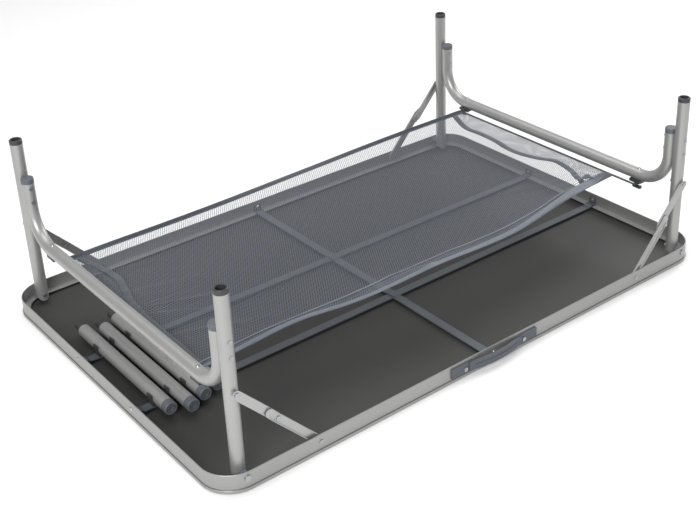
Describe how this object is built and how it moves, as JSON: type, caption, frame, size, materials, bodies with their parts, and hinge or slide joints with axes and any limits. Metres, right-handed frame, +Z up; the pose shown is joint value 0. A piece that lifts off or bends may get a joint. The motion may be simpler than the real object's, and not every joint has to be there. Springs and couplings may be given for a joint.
{
  "type": "folding table",
  "caption": "Folding camp table upside down on its top, legs unfolded, with a storage net between the leg frames and stored leg extension tubes.",
  "frame": {"origin": "middle of the tabletop face, which lies on the floor", "axes": "+X along the table, away from the stored extension tubes; +Y across it, away from the handle; +Z up, from the tabletop towards the leg ends"},
  "size_m": [1.2034, 0.807, 0.3697],
  "materials": {
    "board": "matte black-grey underside of a laminated board",
    "rim_aluminium": "satin extrusion",
    "slate_steel": "semi-matte blue-grey",
    "handle_plastic": "matte",
    "rivet_steel": "bright",
    "brace_steel": "silver powder coat",
    "grey_plastic": "moulded",
    "tube_aluminium": "silver powder coat",
    "net_mesh": "knitted mesh",
    "elastic": "woven elastic"
  },
  "bodies": {
    "table": {"tabletop_board": "board", "rim_frame": "rim_aluminium", "cross_bar": "slate_steel", "long_bar_near": "slate_steel", "long_bar_far": "slate_steel", "bar_rivets": "rivet_steel", "handle_grip": "handle_plastic", "handle_end_plates": "handle_plastic", "handle_rivets": "rivet_steel", "leg_pivot_pins": "rivet_steel", "leg_pivot_bushes": "grey_plastic", "brace_rim_rivets": "rivet_steel", "brace_rim_washers": "grey_plastic", "tube_clips": "grey_plastic"},
    "left_leg_frame": {"left_near_leg": "tube_aluminium", "left_far_leg": "tube_aluminium", "left_u_tube": "tube_aluminium", "left_arm_rivets": "rivet_steel", "left_leg_sockets": "grey_plastic", "left_arm_caps": "grey_plastic", "left_brace_pins": "rivet_steel", "left_net_hooks": "grey_plastic", "left_hook_screws": "rivet_steel"},
    "right_leg_frame": {"right_near_leg": "tube_aluminium", "right_far_leg": "tube_aluminium", "right_u_tube": "tube_aluminium", "right_arm_rivets": "rivet_steel", "right_leg_sockets": "grey_plastic", "right_arm_caps": "grey_plastic", "right_brace_pins": "rivet_steel", "right_net_hooks": "grey_plastic", "right_hook_screws": "rivet_steel"},
    "left_near_upper_link": {"brace_upper_left_near": "brace_steel"},
    "left_near_lower_link": {"brace_lower_left_near": "brace_steel", "brace_rivet_left_near": "rivet_steel"},
    "left_far_upper_link": {"brace_upper_left_far": "brace_steel"},
    "left_far_lower_link": {"brace_lower_left_far": "brace_steel", "brace_rivet_left_far": "rivet_steel"},
    "right_near_upper_link": {"brace_upper_right_near": "brace_steel"},
    "right_near_lower_link": {"brace_lower_right_near": "brace_steel", "brace_rivet_right_near": "rivet_steel"},
    "right_far_upper_link": {"brace_upper_right_far": "brace_steel"},
    "right_far_lower_link": {"brace_lower_right_far": "brace_steel", "brace_rivet_right_far": "rivet_steel"},
    "net": {"storage_net": "net_mesh", "net_cord_left": "elastic", "net_cord_right": "elastic"},
    "stored_tube_1": {"extension_tube_1": "tube_aluminium", "foot_cap_1": "grey_plastic", "tube_plug_1": "grey_plastic"},
    "stored_tube_2": {"extension_tube_2": "tube_aluminium", "foot_cap_2": "grey_plastic", "tube_plug_2": "grey_plastic"},
    "stored_tube_3": {"extension_tube_3": "tube_aluminium", "foot_cap_3": "grey_plastic", "tube_plug_3": "grey_plastic"},
    "stored_tube_4": {"extension_tube_4": "tube_aluminium", "foot_cap_4": "grey_plastic", "tube_plug_4": "grey_plastic"}
  },
  "joints": [
    {"name": "left_frame_fold", "type": "hinge", "parent": "table", "child": "left_leg_frame", "pos_m": [-0.548, 0, 0.0245], "axis": [0, 1, 0], "range_deg": [0, 90]},
    {"name": "right_frame_fold", "type": "hinge", "parent": "table", "child": "right_leg_frame", "pos_m": [0.548, 0, 0.0245], "axis": [0, -1, 0], "range_deg": [0, 90]},
    {"name": "left_near_upper_link_turn", "type": "hinge", "parent": "left_leg_frame", "child": "left_near_upper_link", "pos_m": [-0.548, -0.379, 0.181], "axis": [0, 1, 0], "range_deg": [-136.6, 0]},
    {"name": "left_near_lower_link_turn", "type": "hinge", "parent": "table", "child": "left_near_lower_link", "pos_m": [-0.401, -0.379, 0.021], "axis": [0, 1, 0], "range_deg": [0, 131.8]},
    {"name": "left_far_upper_link_turn", "type": "hinge", "parent": "left_leg_frame", "child": "left_far_upper_link", "pos_m": [-0.548, 0.379, 0.181], "axis": [0, 1, 0], "range_deg": [-136.6, 0]},
    {"name": "left_far_lower_link_turn", "type": "hinge", "parent": "table", "child": "left_far_lower_link", "pos_m": [-0.401, 0.379, 0.021], "axis": [0, 1, 0], "range_deg": [0, 131.8]},
    {"name": "right_near_upper_link_turn", "type": "hinge", "parent": "right_leg_frame", "child": "right_near_upper_link", "pos_m": [0.548, -0.379, 0.181], "axis": [0, -1, 0], "range_deg": [-136.6, 0]},
    {"name": "right_near_lower_link_turn", "type": "hinge", "parent": "table", "child": "right_near_lower_link", "pos_m": [0.401, -0.379, 0.021], "axis": [0, -1, 0], "range_deg": [0, 131.8]},
    {"name": "right_far_upper_link_turn", "type": "hinge", "parent": "right_leg_frame", "child": "right_far_upper_link", "pos_m": [0.548, 0.379, 0.181], "axis": [0, -1, 0], "range_deg": [-136.6, 0]},
    {"name": "right_far_lower_link_turn", "type": "hinge", "parent": "table", "child": "right_far_lower_link", "pos_m": [0.401, 0.379, 0.021], "axis": [0, -1, 0], "range_deg": [0, 131.8]},
    {"name": "net_lower", "type": "slide", "parent": "table", "child": "net", "axis": [0, 0, -1], "range_m": [0, 0.105], "deforming": ["storage_net", "net_cord_left", "net_cord_right"]},
    {"name": "tube_1_lift_out", "type": "slide", "parent": "table", "child": "stored_tube_1", "axis": [0, 0, 1], "range_m": [0, 0.08]},
    {"name": "tube_2_lift_out", "type": "slide", "parent": "table", "child": "stored_tube_2", "axis": [0, 0, 1], "range_m": [0, 0.08]},
    {"name": "tube_3_lift_out", "type": "slide", "parent": "table", "child": "stored_tube_3", "axis": [0, 0, 1], "range_m": [0, 0.08]},
    {"name": "tube_4_lift_out", "type": "slide", "parent": "table", "child": "stored_tube_4", "axis": [0, 0, 1], "range_m": [0, 0.08]}
  ],
  "couplings": [
    {"joint": "right_frame_fold", "follows": "left_frame_fold", "ratio": 1},
    {"joint": "left_near_upper_link_turn", "follows": "left_frame_fold", "ratio": -1.5165},
    {"joint": "left_near_lower_link_turn", "follows": "left_frame_fold", "ratio": 1.463},
    {"joint": "left_far_upper_link_turn", "follows": "left_frame_fold", "ratio": -1.5165},
    {"joint": "left_far_lower_link_turn", "follows": "left_frame_fold", "ratio": 1.463},
    {"joint": "right_near_upper_link_turn", "follows": "left_frame_fold", "ratio": -1.5165},
    {"joint": "right_near_lower_link_turn", "follows": "left_frame_fold", "ratio": 1.463},
    {"joint": "right_far_upper_link_turn", "follows": "left_frame_fold", "ratio": -1.5165},
    {"joint": "right_far_lower_link_turn", "follows": "left_frame_fold", "ratio": 1.463},
    {"joint": "net_lower", "follows": "left_frame_fold", "m_per_rad": 0.066527}
  ]
}
